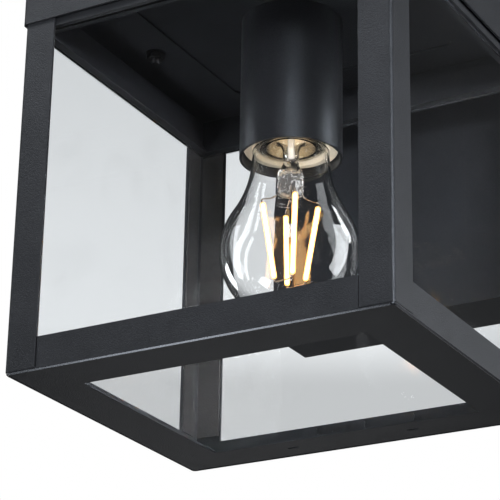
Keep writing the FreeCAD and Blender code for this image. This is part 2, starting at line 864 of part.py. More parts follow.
def box_nuts():
    nut = hex_nut(nut_flats, nut_thickness, screw_diameter + fastener_clearance)
    place = FreeCAD.Vector(box_screw_spread, cap_rear - sheet, box_screw_level)
    return mirrored_pair(aim(nut, FreeCAD.Vector(0, -1, 0), place))


def wire_grommet():
    """Rubber grommet through the skirt and the wall box, turned about Y."""
    grip = sheet + wall_box_wall
    bore = grommet_bore / 2
    groove = grommet_groove / 2
    flange = grommet_flange / 2
    ring = turned([
        (bore, -grommet_lip),
        (flange, -grommet_lip),
        (flange, 0),
        (groove, 0),
        (groove, grip),
        (flange, grip),
        (flange, grip + grommet_lip),
        (bore, grip + grommet_lip),
    ])
    return aim(ring, FreeCAD.Vector(0, 1, 0), FreeCAD.Vector(0, cap_rear - sheet, grommet_level))


def terminal_places():
    return [(step * terminal_pitch, wire_rise_plane) for step in (-1, 0, 1)]


def terminal_block():
    """Three-pole block on the front wall of the box, with wire holes above and below."""
    low = terminal_top - terminal_height
    back = box_inner_front + terminal_depth
    body = block(-terminal_width / 2, terminal_width / 2, box_inner_front, back, low, terminal_top)
    cuts = []
    for x, y in terminal_places():
        cuts.append(upright(terminal_hole, low, low + wire_entry, x, y))
        cuts.append(upright(terminal_hole, terminal_top - wire_entry, terminal_top, x, y))
        for level in screw_levels():
            start = FreeCAD.Vector(x, back - terminal_screw_length, level)
            end = FreeCAD.Vector(x, back, level)
            cuts.append(along(terminal_screw_diameter + fastener_clearance, start, end))
    return body.cut(cuts)


def screw_levels():
    middle = terminal_top - terminal_height / 2
    return middle - terminal_height / 4, middle + terminal_height / 4


def terminal_screws():
    back = box_inner_front + terminal_depth
    screws = []
    for x, _ in terminal_places():
        for level in screw_levels():
            start = FreeCAD.Vector(x, back - terminal_screw_length, level)
            end = FreeCAD.Vector(x, back - fastener_clearance, level)
            screws.append(along(terminal_screw_diameter, start, end))
    return Part.makeCompound(screws)


def supply_wire(pole, lead, drop_points):
    """Wire from one pole of the block, up, through the grommet and on by its own points."""
    x, y = terminal_places()[pole]
    rise = FreeCAD.Vector(x, y, terminal_top - wire_entry)
    knee = FreeCAD.Vector(x, y, wire_level - terminal_drop / 2)
    turn = FreeCAD.Vector(lead, y, wire_level)
    return wire_tube([rise, knee, turn] + drop_points, wire_diameter)


def nipple_entry(side, end_offset):
    """Points that take a wire over the nipple, down its bore and on towards a terminal post."""
    over = FreeCAD.Vector(side * nipple_wire_offset, lamp_offset, wire_level)
    throat = FreeCAD.Vector(side * nipple_wire_offset, lamp_offset, chamber_top - 2 * wire_diameter)
    end = FreeCAD.Vector(side * end_offset, lamp_offset, post_top + seat_gap)
    return over, throat, end


def live_wire():
    return supply_wire(0, -wire_spread, list(nipple_entry(-1, live_post_offset)))


def neutral_wire():
    over, throat, end = nipple_entry(1, neutral_post_offset)
    knee = end + FreeCAD.Vector(0, 0, chamber_height / 3)
    return supply_wire(2, wire_spread, [over, throat, knee, end])


def earth_wire():
    x, y = terminal_places()[1]
    level = wire_level + earth_wire_rise
    barrel_end = earth_stud_offset + lug_ring_diameter / 2 + lug_barrel_length
    points = [
        FreeCAD.Vector(x, y, terminal_top - wire_entry),
        FreeCAD.Vector(x, y, level),
        FreeCAD.Vector(x, cap_half_depth - earth_stud_offset / 2, level),
        FreeCAD.Vector(earth_stud_reach, barrel_end + lug_barrel_length * 2, barrel_level),
        FreeCAD.Vector(earth_stud_reach, barrel_end - lug_barrel_length / 2, barrel_level),
    ]
    return wire_tube(points, wire_diameter)


def at_earth_stud(diameter, z0, z1):
    return upright(diameter, z0, z1, earth_stud_reach, earth_stud_offset)


def earth_stud():
    return at_earth_stud(stud_diameter, lamp_plate_top, lamp_plate_top + earth_stud_height)


def earth_lug():
    """Crimped ring lug on the earth stud, its barrel towards the wall."""
    ring_end = earth_stud_offset + lug_ring_diameter / 2
    ring = at_earth_stud(lug_ring_diameter, lamp_plate_top, lug_level)
    tongue = block(earth_stud_reach - lug_barrel_diameter / 2, earth_stud_reach + lug_barrel_diameter / 2,
                   earth_stud_offset, ring_end + lug_barrel_length, lamp_plate_top, lug_level)
    start = FreeCAD.Vector(earth_stud_reach, ring_end, barrel_level)
    end = FreeCAD.Vector(earth_stud_reach, ring_end + lug_barrel_length, barrel_level)
    barrel = along(lug_barrel_diameter, start, end)
    bore = along(wire_diameter + fastener_clearance, start, end)
    eye = at_earth_stud(stud_diameter + fastener_clearance, lamp_plate_top, lug_level)
    return ring.fuse([tongue, barrel]).removeSplitter().cut([bore, eye])


def earth_nut():
    nut = hex_nut(nut_flats, nut_thickness, stud_diameter + fastener_clearance)
    nut.translate(FreeCAD.Vector(earth_stud_reach, earth_stud_offset, lug_level))
    return nut


PARTS = {
    "bottom_frame": bottom_frame(),
    "front_left_post": corner_post(-1, -1),
    "front_right_post": corner_post(1, -1),
    "rear_left_post": corner_post(-1, 1),
    "rear_right_post": corner_post(1, 1),
    "top_frame": top_frame(),
    "ceiling_plate": ceiling_plate(),
    "front_pane": front_pane(-1),
    "rear_pane": front_pane(1),
    "left_pane": side_pane(-1),
    "right_pane": side_pane(1),
    "pane_sealing_strips": sealing_strips(),
    "pane_clips": pane_clips(),
    "roof_cap": roof_cap(),
    "cap_studs": cap_studs(),
    "stud_spacers": stud_spacers(),
    "stud_washers": stud_washers(),
    "stud_nuts": stud_nuts(),
    "lamp_plate": lamp_plate(),
    "lamp_tube": lamp_tube(),
    "lampholder_body": lampholder_body(),
    "holder_screw_shell": holder_screw_shell(),
    "holder_contact": holder_contact(),
    "nipple": nipple(),
    "nipple_locknut": nipple_locknut(),
    "bulb_glass": bulb_glass(),
    "bulb_cap": bulb_cap(),
    "bulb_insulator": bulb_insulator(),
    "bulb_contact": bulb_contact(),
    "bulb_stem": bulb_stem(),
    "bulb_filaments": bulb_filaments(),
    "bulb_support_wires": bulb_support_wires(),
    "wall_box": wall_box(),
    "wall_box_seal": wall_box_seal(),
    "wall_bracket": wall_bracket(),
    "bracket_screws": bracket_screws(),
    "box_screws": box_screws(),
    "box_nuts": box_nuts(),
    "wire_grommet": wire_grommet(),
    "terminal_block": terminal_block(),
    "terminal_screws": terminal_screws(),
    "live_wire": live_wire(),
    "neutral_wire": neutral_wire(),
    "earth_wire": earth_wire(),
    "earth_stud": earth_stud(),
    "earth_lug": earth_lug(),
    "earth_nut": earth_nut(),
}

os.makedirs("parts", exist_ok=True)
to_wall = FreeCAD.Vector(0, -wall_plane, -box_middle)
for name, shape in PARTS.items():
    shape.translate(to_wall)
    shape.exportStep("parts/%s.step" % name)
    state = "valid" if shape.isValid() else "INVALID"
    print(name, len(shape.Solids), "solids", state, "%.1f mm3" % shape.Volume)
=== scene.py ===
import bmesh
import bpy
import math
from mathutils import Matrix, Vector, noise


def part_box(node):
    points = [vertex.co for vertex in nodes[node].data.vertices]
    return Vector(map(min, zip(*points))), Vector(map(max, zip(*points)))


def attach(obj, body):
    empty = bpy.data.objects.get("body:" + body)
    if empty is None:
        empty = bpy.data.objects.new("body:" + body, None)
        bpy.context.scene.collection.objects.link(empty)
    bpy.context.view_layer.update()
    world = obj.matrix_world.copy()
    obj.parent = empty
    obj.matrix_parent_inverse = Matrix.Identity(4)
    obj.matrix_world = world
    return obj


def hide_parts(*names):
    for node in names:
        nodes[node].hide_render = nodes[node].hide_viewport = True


# Outdoor wall light: a sheet-metal box lantern with clear panes and a lit screw-in bulb.
# Metres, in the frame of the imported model: the wall is the plane Y = 0 and Z is up.

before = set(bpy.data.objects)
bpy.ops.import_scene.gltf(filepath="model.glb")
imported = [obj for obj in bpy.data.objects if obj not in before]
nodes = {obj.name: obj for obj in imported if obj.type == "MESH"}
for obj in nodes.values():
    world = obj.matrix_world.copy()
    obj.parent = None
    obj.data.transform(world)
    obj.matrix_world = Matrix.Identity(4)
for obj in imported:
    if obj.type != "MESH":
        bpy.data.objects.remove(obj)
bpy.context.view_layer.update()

MM = 0.001

# Photograph's view
camera_from_cage = Vector((0.39983, -0.72625, -0.28294))
camera_yaw = math.radians(29.83)
camera_pitch = math.radians(22.75)
camera_roll = math.radians(0.99)
camera_lens = 154.29

# Staging
floor_level = -1.0
floor_reach = 6.0
floor_dark = (0.80, 0.80, 0.80)
floor_light = (0.84, 0.84, 0.84)
floor_mirrored = (0.06, 0.06, 0.06, 1.0)
cage_middle = (0.0, -0.13, -0.05)
pure_white = (1.0, 1.0, 1.0, 1.0)
cool_white = (0.95, 0.98, 1.0, 1.0)
half_bounce = 0.5

# Sky behind the panes: stops from the horizon up, with their brightness
sky_tint = (0.955, 0.985, 1.0)
sky_stops = ((0.330, 0.63), (0.350, 1.0), (0.40, 0.95), (0.46, 0.85))
sky_low = (0.56, 0.58, 0.60, 1.0)
sky_high = (0.78, 0.80, 0.82, 1.0)

# Light of the lit bulb, just above the tube's mouth
glow_power = 0.02
glow_colour = (1.0, 0.86, 0.66)
glow_radius = 3.0 * MM
glow_rise = 4.0 * MM

# Tones that several finishes share
coat_dark = (0.0030, 0.0033, 0.0040)
coat_light = (0.0185, 0.0195, 0.0225)
coat_sheen = (0.80, 0.88, 1.0, 1.0)
coat_mottle = 60.0
pane_tint = (0.930, 0.935, 0.94)
smudge_shade = 0.97
colourless = (1.0, 1.0, 1.0)
bulb_glass_index = 1.48
pane_glass_index = 1.25

# Part of a mask over which a colour goes from its dark tone to its light one
mask_dark = 0.3
mask_light = 0.7


def add_node(tree, kind, **values):
    """Add one shader node and set its named properties and inputs."""
    node = tree.nodes.new(kind)
    for name, value in values.items():
        if name in node.inputs:
            node.inputs[name].default_value = value
        else:
            setattr(node, name, value)
    return node


def add_object(name, data):
    made = bpy.data.objects.new(name, data)
    bpy.context.scene.collection.objects.link(made)
    return made


def aim(thing, place, target):
    """Stand a lamp or panel at a place, facing the target."""
    thing.location = place
    thing.rotation_euler = (Vector(target) - Vector(place)).to_track_quat("-Z", "Y").to_euler()


def connect(tree, *pairs):
    for source, target in pairs:
        tree.links.new(source, target)


def new_group(name, inputs, outputs):
    """Empty shader node group with its value inputs (name: default) and value outputs."""
    tree = bpy.data.node_groups.new(name, "ShaderNodeTree")
    for socket_name, default in inputs.items():
        socket = tree.interface.new_socket(socket_name, in_out="INPUT", socket_type="NodeSocketFloat")
        socket.default_value = default
    for socket_name in outputs:
        tree.interface.new_socket(socket_name, in_out="OUTPUT", socket_type="NodeSocketFloat")
    start = tree.nodes.new("NodeGroupInput")
    end = tree.nodes.new("NodeGroupOutput")
    return tree, start, end


def grain_group():
    """Even pebbled grain, and a speckle of it over a slow mottle, for coats, mouldings, rubber and foam."""
    tree, start, end = new_group("coat_grain", {"Grains per metre": 2600.0, "Mottle per metre": 60.0},
                                 ("Height", "Speckle"))
    place = tree.nodes.new("ShaderNodeTexCoord")
    grain = add_node(tree, "ShaderNodeTexNoise", Detail=3.0, Roughness=0.6)
    mottle = add_node(tree, "ShaderNodeTexNoise", Detail=4.0, Roughness=0.55)
    blend = add_node(tree, "ShaderNodeMix", data_type="FLOAT", Factor=0.35)
    connect(
        tree,
        (place.outputs["Object"], grain.inputs["Vector"]),
        (place.outputs["Object"], mottle.inputs["Vector"]),
        (start.outputs["Grains per metre"], grain.inputs["Scale"]),
        (start.outputs["Mottle per metre"], mottle.inputs["Scale"]),
        (grain.outputs["Fac"], end.inputs["Height"]),
        (grain.outputs["Fac"], blend.inputs["A"]),
        (mottle.outputs["Fac"], blend.inputs["B"]),
        (blend.outputs["Result"], end.inputs["Speckle"]),
    )
    return tree


def smudge_group():
    """Faint wiping marks and specks on glass and bright metal."""
    tree, start, end = new_group("wiped_smudge", {"Marks per metre": 25.0, "Specks per metre": 900.0},
                                 ("Smudge",))
    place = tree.nodes.new("ShaderNodeTexCoord")
    wipe = add_node(tree, "ShaderNodeTexNoise", Detail=5.0, Roughness=0.6, Distortion=1.2)
    speck = add_node(tree, "ShaderNodeTexNoise", Detail=1.0)
    wipe_range = add_node(tree, "ShaderNodeMapRange", **{"From Min": 0.45, "From Max": 0.8})
    speck_range = add_node(tree, "ShaderNodeMapRange", **{"From Min": 0.7, "From Max": 0.78})
    both = add_node(tree, "ShaderNodeMath", operation="MAXIMUM")
    connect(
        tree,
        (place.outputs["Object"], wipe.inputs["Vector"]),
        (place.outputs["Object"], speck.inputs["Vector"]),
        (start.outputs["Marks per metre"], wipe.inputs["Scale"]),
        (start.outputs["Specks per metre"], speck.inputs["Scale"]),
        (wipe.outputs["Fac"], wipe_range.inputs["Value"]),
        (speck.outputs["Fac"], speck_range.inputs["Value"]),
        (wipe_range.outputs["Result"], both.inputs[0]),
        (speck_range.outputs["Result"], both.inputs[1]),
        (both.outputs["Value"], end.inputs["Smudge"]),
    )
    return tree


coat_grain = grain_group()
wiped_smudge = smudge_group()


def new_material(name, **constants):
    """Material with one Principled shader; constants go straight on its sockets."""
    material = bpy.data.materials.new(name)
    material.use_nodes = True
    tree = material.node_tree
    tree.nodes.clear()
    output = tree.nodes.new("ShaderNodeOutputMaterial")
    shader = tree.nodes.new("ShaderNodeBsdfPrincipled")
    for socket, value in constants.items():
        shader.inputs[socket.replace("_", " ")].default_value = value
    connect(tree, (shader.outputs["BSDF"], output.inputs["Surface"]))
    return material, tree, shader, output


def place_group(tree, group, **values):
    node = tree.nodes.new("ShaderNodeGroup")
    node.node_tree = group
    for socket, value in values.items():
        node.inputs[socket.replace("_", " ")].default_value = value
    return node


def vary_colour(tree, shader, mask, dark, light):
    """Base colour between two tones by a mask."""
    ramp = tree.nodes.new("ShaderNodeValToRGB")
    ramp.color_ramp.elements[0].position = mask_dark
    ramp.color_ramp.elements[0].color = (*dark, 1.0)
    ramp.color_ramp.elements[1].position = mask_light
    ramp.color_ramp.elements[1].color = (*light, 1.0)
    connect(tree, (mask, ramp.inputs["Fac"]), (ramp.outputs["Color"], shader.inputs["Base Color"]))


def vary_roughness(tree, shader, mask, smooth, rough):
    spread = add_node(tree, "ShaderNodeMapRange", **{"To Min": smooth, "To Max": rough})
    connect(tree, (mask, spread.inputs["Value"]), (spread.outputs["Result"], shader.inputs["Roughness"]))


def raise_grain(tree, shader, height, depth, strength):
    bump = add_node(tree, "ShaderNodeBump", Strength=strength, Distance=depth)
    connect(tree, (height, bump.inputs["Height"]), (bump.outputs["Normal"], shader.inputs["Normal"]))


def let_light_through(tree, shader, output, tint):
    """Lamps and lit filaments shine through the glass instead of being stopped by it."""
    path = tree.nodes.new("ShaderNodeLightPath")
    clear = add_node(tree, "ShaderNodeBsdfTransparent", Color=(*tint, 1.0))
    mix = tree.nodes.new("ShaderNodeMixShader")
    connect(
        tree,
        (path.outputs["Is Shadow Ray"], mix.inputs["Fac"]),
        (shader.outputs["BSDF"], mix.inputs[1]),
        (clear.outputs["BSDF"], mix.inputs[2]),
        (mix.outputs["Shader"], output.inputs["Surface"]),
    )


def grained_material(name, dark, light, smooth, rough, grains, mottle, depth, strength, **constants):
    """Solid finish with a pebbled grain: coat, moulding, rubber, foam or wire sleeve."""
    material, tree, shader, _ = new_material(name, **constants)
    grain = place_group(tree, coat_grain, Grains_per_metre=grains, Mottle_per_metre=mottle)
    vary_colour(tree, shader, grain.outputs["Speckle"], dark, light)
    vary_roughness(tree, shader, grain.outputs["Height"], smooth, rough)
    raise_grain(tree, shader, grain.outputs["Height"], depth, strength)
    return material


def bright_metal(name, dark, light, smooth, rough):
    """Plated or bare metal with wiping marks in its gloss."""
    material, tree, shader, _ = new_material(name, Metallic=1.0)
    marks = place_group(tree, wiped_smudge, Marks_per_metre=180.0, Specks_per_metre=2500.0)
    grain = place_group(tree, coat_grain, Grains_per_metre=5000.0, Mottle_per_metre=250.0)
    vary_colour(tree, shader, grain.outputs["Speckle"], dark, light)
    vary_roughness(tree, shader, marks.outputs["Smudge"], smooth, rough)
    raise_grain(tree, shader, grain.outputs["Height"], depth=0.01 * MM, strength=0.3)
    return material


def clear_glass(name, tint, index, rough, crinkle=0.0, clear=1.0):
    """Glass with wiping marks, in its gloss or, where it has none to vary, in its tint."""
    # Where clear is under 1 the rest of the glass turns diffuse white: a painted highlight on the exhaust
    # tube, painted sparkle on the pressed glass.
    material, tree, shader, output = new_material(
        name, Base_Color=(*tint, 1.0), Transmission_Weight=clear, IOR=index)
    marks = place_group(tree, wiped_smudge)
    if rough:
        vary_roughness(tree, shader, marks.outputs["Smudge"], smooth=0.0, rough=rough)
    else:
        shader.inputs["Roughness"].default_value = 0.0
        vary_colour(tree, shader, marks.outputs["Smudge"], tint, [smudge_shade * part for part in tint])
    if crinkle:
        grain = place_group(tree, coat_grain, Grains_per_metre=650.0)
        raise_grain(tree, shader, grain.outputs["Height"], depth=crinkle, strength=1.0)
    let_light_through(tree, shader, output, tint)
    return material


def black_coat(name, smooth, rough, grains, depth, strength):
    """Black powder coat on sheet metal."""
    return grained_material(name, coat_dark, coat_light, smooth, rough, grains, coat_mottle, depth, strength,
                            Specular_Tint=coat_sheen)


def wire_sleeve(name, dark, light):
    """Smooth plastic sleeve of an inner wire."""
    return grained_material(name, dark, light, smooth=0.35, rough=0.5, grains=1200.0, mottle=80.0,
                            depth=0.03 * MM, strength=0.3)


def glowing_coat(name, mottle, dark, light, warm, hot, **constants):
    """Lit coat of a filament, a little uneven along its length."""
    material, tree, shader, _ = new_material(name, **constants)
    grain = place_group(tree, coat_grain, Grains_per_metre=1500.0, Mottle_per_metre=mottle)
    vary_colour(tree, shader, grain.outputs["Speckle"], dark, light)
    ramp = tree.nodes.new("ShaderNodeValToRGB")
    ramp.color_ramp.elements[0].color = (*warm, 1.0)
    ramp.color_ramp.elements[1].color = (*hot, 1.0)
    connect(tree, (grain.outputs["Speckle"], ramp.inputs["Fac"]),
            (ramp.outputs["Color"], shader.inputs["Emission Color"]))
    return material


finishes = {
    "coated_metal": black_coat(
        "powder_coat", smooth=0.33, rough=0.49, grains=1700.0, depth=0.16 * MM, strength=1.0),
    "tube_coat": black_coat(
        "tube_coat", smooth=0.28, rough=0.41, grains=1600.0, depth=0.12 * MM, strength=0.8),
    "rim_coat": black_coat(
        "rim_coat", smooth=0.20, rough=0.30, grains=1900.0, depth=0.02 * MM, strength=0.4),
    "pane_glass": clear_glass("pane_glass", pane_tint, pane_glass_index, rough=0.0),
    "seal_foam": grained_material(
        "seal_foam", dark=(0.02, 0.02, 0.021), light=(0.04, 0.04, 0.042), smooth=0.85, rough=0.95,
        grains=1400.0, mottle=200.0, depth=0.25 * MM, strength=0.8),
    "plated_steel": bright_metal(
        "plated_steel", dark=(0.60, 0.60, 0.58), light=(0.72, 0.72, 0.70), smooth=0.22, rough=0.45),
    "zinc_plate": bright_metal(
        "zinc_plate", dark=(0.26, 0.27, 0.28), light=(0.40, 0.41, 0.42), smooth=0.45, rough=0.62),
    "black_fastener": bright_metal(
        "black_plating", dark=(0.045, 0.045, 0.05), light=(0.075, 0.075, 0.08), smooth=0.3, rough=0.5),
    "bulb_wire": bright_metal(
        "bulb_wire", dark=(0.30, 0.27, 0.24), light=(0.42, 0.38, 0.33), smooth=0.25, rough=0.45),
    # Cream cement; the gold-brown of its darker speckle is painted reflection.
    "cement_with_painted_reflections": grained_material(
        "cement_with_painted_reflections", dark=(0.70, 0.50, 0.24), light=(0.95, 0.92, 0.84), smooth=0.25, rough=0.5,
        grains=900.0, mottle=260.0, depth=0.15 * MM, strength=0.6, Coat_Weight=0.4),
    "stem_glass": clear_glass("stem_glass", colourless, bulb_glass_index, rough=0.01),
    # Pressed glass of the pinch: real crinkle bump, plus a small diffuse white share that is painted sparkle.
    "pressed_glass_painted_sparkle": clear_glass(
        "pressed_glass_painted_sparkle", colourless, bulb_glass_index, rough=0.01, crinkle=0.12 * MM, clear=0.95),
    # Exhaust tube glass: its milky white share is a painted highlight along the tube.
    "exhaust_glass_painted_highlight": clear_glass("exhaust_glass_painted_highlight", colourless, bulb_glass_index, rough=0.02, clear=0.6),
    "filament_sleeve": glowing_coat(
        "warm_sleeve", mottle=500.0, dark=(0.85, 0.42, 0.06), light=(0.95, 0.60, 0.14),
        warm=(1.0, 0.52, 0.10), hot=(1.0, 0.74, 0.28), Emission_Strength=1.1, Roughness=0.45, Alpha=0.5),
    "holder_body": grained_material(
        "holder_ceramic", dark=(0.72, 0.66, 0.53), light=(0.80, 0.75, 0.63), smooth=0.25, rough=0.4,
        grains=700.0, mottle=90.0, depth=0.03 * MM, strength=0.3, Coat_Weight=0.3),
    "brass": bright_metal(
        "contact_brass", dark=(0.72, 0.52, 0.22), light=(0.83, 0.63, 0.30), smooth=0.2, rough=0.42),
    "bulb_glass": clear_glass("bulb_glass", colourless, bulb_glass_index, rough=0.004),
    "bulb_cap_metal": bright_metal(
        "cap_nickel", dark=(0.70, 0.66, 0.58), light=(0.80, 0.77, 0.70), smooth=0.18, rough=0.38),
    "bulb_insulator": grained_material(
        "cap_button", dark=(0.02, 0.016, 0.022), light=(0.035, 0.028, 0.04), smooth=0.08, rough=0.2,
        grains=900.0, mottle=150.0, depth=0.02 * MM, strength=0.2),
    "filament": glowing_coat(
        "lit_phosphor", mottle=400.0, dark=(0.85, 0.5, 0.12), light=(0.95, 0.65, 0.2),
        warm=(1.0, 0.62, 0.22), hot=(1.0, 0.78, 0.42), Emission_Strength=9.0, Roughness=0.5),
    "grommet_rubber": grained_material(
        "grommet_rubber", dark=(0.012, 0.012, 0.012), light=(0.025, 0.025, 0.025), smooth=0.6, rough=0.75,
        grains=1800.0, mottle=150.0, depth=0.05 * MM, strength=0.4),
    "live_sleeve": wire_sleeve("brown_sleeve", dark=(0.10, 0.04, 0.018), light=(0.14, 0.06, 0.026)),
    "neutral_sleeve": wire_sleeve("blue_sleeve", dark=(0.015, 0.08, 0.32), light=(0.03, 0.12, 0.42)),
    "earth_sleeve": wire_sleeve("green_sleeve", dark=(0.10, 0.30, 0.04), light=(0.16, 0.40, 0.06)),
}

panes = ("front_pane", "rear_pane", "left_pane", "right_pane")

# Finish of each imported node, also of those that a piece below stands for; the rest is coated metal
node_finish = {
    **{pane: "pane_glass" for pane in panes},
    "pane_sealing_strips": "seal_foam",
    "wall_box_seal": "seal_foam",
    "cap_studs": "black_fastener",
    "stud_spacers": "plated_steel",
    "stud_washers": "black_fastener",
    "stud_nuts": "black_fastener",
    "lamp_tube": "tube_coat",
    "lampholder_body": "holder_body",
    "holder_screw_shell": "brass",
    "holder_contact": "brass",
    "nipple": "plated_steel",
    "nipple_locknut": "plated_steel",
    "bulb_glass": "bulb_glass",
    "bulb_cap": "bulb_cap_metal",
    "bulb_insulator": "bulb_insulator",
    "bulb_contact": "bulb_cap_metal",
    "bulb_stem": "bulb_glass",
    "bulb_filaments": "filament",
    "bulb_support_wires": "plated_steel",
    "wall_bracket": "zinc_plate",
    "bracket_screws": "black_fastener",
    "box_screws": "plated_steel",
    "box_nuts": "plated_steel",
    "wire_grommet": "grommet_rubber",
    "terminal_block": "holder_body",
    "terminal_screws": "brass",
    "live_wire": "live_sleeve",
    "neutral_wire": "neutral_sleeve",
    "earth_wire": "earth_sleeve",
    "earth_stud": "plated_steel",
    "earth_lug": "brass",
    "earth_nut": "plated_steel",
}

for name, node in nodes.items():
    node.data.materials.clear()
    node.data.materials.append(finishes[node_finish.get(name, "coated_metal")])


# Where the bulb stands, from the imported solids
glass_low, glass_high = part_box("bulb_glass")
cap_low, cap_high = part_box("bulb_cap")
stem_low, stem_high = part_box("bulb_stem")
lamp_axis = Vector(((glass_low.x + glass_high.x) / 2, (glass_low.y + glass_high.y) / 2, 0.0))

# Bulb's inner parts
filament_count = 4
filament_turn = math.radians(38.0)
filament_top_radius = 12.3 * MM
filament_foot_radius = 6.4 * MM
filament_core = 0.9 * MM
filament_sleeve = 1.25 * MM
core_lumps = 0.05
sleeve_lumps = 0.10
coat_lumps_per_metre = 600.0
strip_end_share = 0.12
tab_length = 2.2 * MM
wire_radius = 0.28 * MM
wire_middle_rise = 0.2 * MM
pinch_half_width = 5.5 * MM
pinch_half_depth = 1.8 * MM
pinch_top = 13.1 * MM
stem_radius = 3.4 * MM
cement_lump = 0.5 * MM
cement_lumps_per_metre = 420.0

# Link between two filaments' feet: its sag, and shares of it at its raised ends and just inside them
link_sag = 0.5 * MM
link_end_rise = 2.0
link_end_dip = 0.4

# Bulb's cap
cap_wall = 0.5 * MM
cap_edge = 0.2 * MM
cap_edge_rise = 0.15 * MM
cap_tuck = 0.6 * MM
cap_tuck_rise = 0.9 * MM
cap_swell = 0.5 * MM
thread_pitch = 3.62 * MM
thread_turns = 5
thread_depth = 0.8 * MM
steps_per_turn = 12

# Pressed end of the stem: its lead above the pinch, its smooth margin, and shares of its length
pinch_lead = 2.5 * MM
crinkle_margin = 1.0 * MM
flat_from = 0.35
closing_from = 0.93
closing_length = 0.07
closing_share = 0.35

# Crinkle of the pressed glass: share of its half width, and lumps per metre
stem_crinkles = ((0.16, 700.0), (0.10, 1500.0))

# Sections of turned and folded trim, in millimetres
rim_corner = 2.0
rim_section = ((0.28, 0.30), (0.28, 0.34), (-0.1, 0.6), (-0.9, 0.4), (-0.82, -0.05), (-0.35, -0.25),
               (-0.27, -0.25))
stem_inside = ((1.3, 3.0), (1.9, 4.2), (2.6, 6.5), (2.8, 8.5), (3.6, 11.0), (5.6, 13.2), (9.0, 14.6))
stem_outside = ((9.6, 14.2), (6.0, 12.6), (4.2, 10.4), (3.5, 8.0), (3.4, 4.5))
stem_lip_rise = 15.3
exhaust_section = ((0.7, 4.4), (1.35, 4.3), (1.5, 6.0), (1.5, 16.0), (1.2, 18.0), (0.8, 18.0), (0.9, 16.0),
                   (0.9, 6.0))

# Ends of the filaments' coats and tabs, in millimetres
core_inset = 1.2
sleeve_inset = 0.7
tab_half_thickness = 0.12

# Tab at a filament's end: share of its length, and half its width in millimetres
tab_section = ((0.0, 0.30), (0.2, 0.45), (0.9, 0.45), (1.0, 0.35))

# Support wire, in millimetres out and up: from the pressed glass's foot, and over the filament's top
wire_start = ((-1.2, 5.0), (-0.6, 2.0), (0.8, 0.4))
wire_hook = ((0.0, 0.5), (0.35, -1.4))

# Cement in the bulb's cap: share of the stem's flare and rise in millimetres
cement_section = ((1.0, 3.2), (1.0, 0.6), (0.9, 0.5), (0.75, 1.3), (0.6, 2.2), (0.45, 2.9), (0.3, 3.4),
                  (0.18, 3.6), (0.18, 5.4))

# Edges of the panes, nuts and screws
pane_bevel = 0.35 * MM
small_bore = 2.05 * MM
nipple_bore = 5.05 * MM
thread_play = 0.05 * MM
nut_circle_share = 0.96
nut_chamfer = math.radians(30.0)
nut_sink = 0.4 * MM
stud_pitch = 0.7 * MM
stud_thread_depth = 0.4 * MM
steps_per_pitch = 6
side_screw_radius = 2.0 * MM
side_screw_length = 8.0 * MM
side_screw_cross = (2.3 * MM, 0.55 * MM)
side_screw_recess = 1.3 * MM
terminal_shank = 1.3 * MM
terminal_head = 1.8 * MM
terminal_head_height = 1.2 * MM
terminal_slot = (1.35 * MM, 0.3 * MM)
terminal_slot_depth = 0.7 * MM
recess_taper = 0.7

# Dome of a screw's head: shares of its radius and of its height
dome_section = ((1.0, 0.35), (0.94, 0.65), (0.82, 0.86), (0.68, 0.96))


def up(rise):
    """Step straight up by a rise."""
    return Vector((0.0, 0.0, rise))


def skin(bm, rings, place=Matrix(), loop=False):
    """Quads between neighbouring rings of points; the ends are closed unless the rings form a loop."""
    rows = [[bm.verts.new(place @ point) for point in ring] for ring in rings]
    pairs = list(zip(rows, rows[1:]))
    if loop:
        pairs.append((rows[-1], rows[0]))
    for low, high in pairs:
        for step in range(len(low)):
            after = (step + 1) % len(low)
            bm.faces.new((low[step], low[after], high[after], high[step]))
    if not loop:
        bm.faces.new(rows[0][::-1])
        bm.faces.new(rows[-1])


def ring(reach, level, sides):
    """Points around Z at one level; reach is a radius, or gives the radius at an angle."""
    points = []
    for step in range(sides):
        angle = 2 * math.pi * step / sides
        radius = reach(angle) if callable(reach) else reach
        points.append(Vector((radius * math.cos(angle), radius * math.sin(angle), level)))
    return points


def turned_rings(profile, sides):
    return [ring(radius, level, sides) for radius, level in profile]


def round_wire(bm, path, radius, sides=10):
    """Wire along a path of points."""
    rings = []
    for step, point in enumerate(path):
        before = path[max(step - 1, 0)]
        after = path[min(step + 1, len(path) - 1)]
        turn = (after - before).to_track_quat("Z", "Y")
        rings.append([point + turn @ offset for offset in ring(radius, 0.0, sides)])
    skin(bm, rings)


def smooth_path(points, steps=8):
    """Points of a smooth curve through the given ones."""
    ends = [2 * points[0] - points[1]] + points + [2 * points[-1] - points[-2]]
    path = []
    for before, start, end, after in zip(ends, ends[1:], ends[2:], ends[3:]):
        for step in range(steps):
            t = step / steps
            bend = (2 * before - 5 * start + 4 * end - after) * t ** 2
            sway = (3 * start - before - 3 * end + after) * t ** 3
            path.append(0.5 * (2 * start + (end - before) * t + bend + sway))
    path.append(points[-1])
    return path


def add_piece(name, bm, body, slot, *replaced, finish=None, sharp=35.0):
    """Turn the mesh into a piece of the light, on its body, with its finish; gives the piece."""
    bmesh.ops.recalc_face_normals(bm, faces=bm.faces)
    mesh = bpy.data.meshes.new(name)
    bm.to_mesh(mesh)
    bm.free()
    mesh.shade_smooth()
    mesh.set_sharp_from_angle(angle=math.radians(sharp))
    mesh.materials.append(finishes[finish or slot])
    made = add_object(name, mesh)
    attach(made, body)
    if replaced:
        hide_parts(*replaced)
    return made


def standing(place, towards):
    """Matrix that stands a piece made along +Z at a place, facing towards a direction."""
    return Matrix.Translation(place) @ Vector(towards).to_track_quat("Z", "Y").to_matrix().to_4x4()


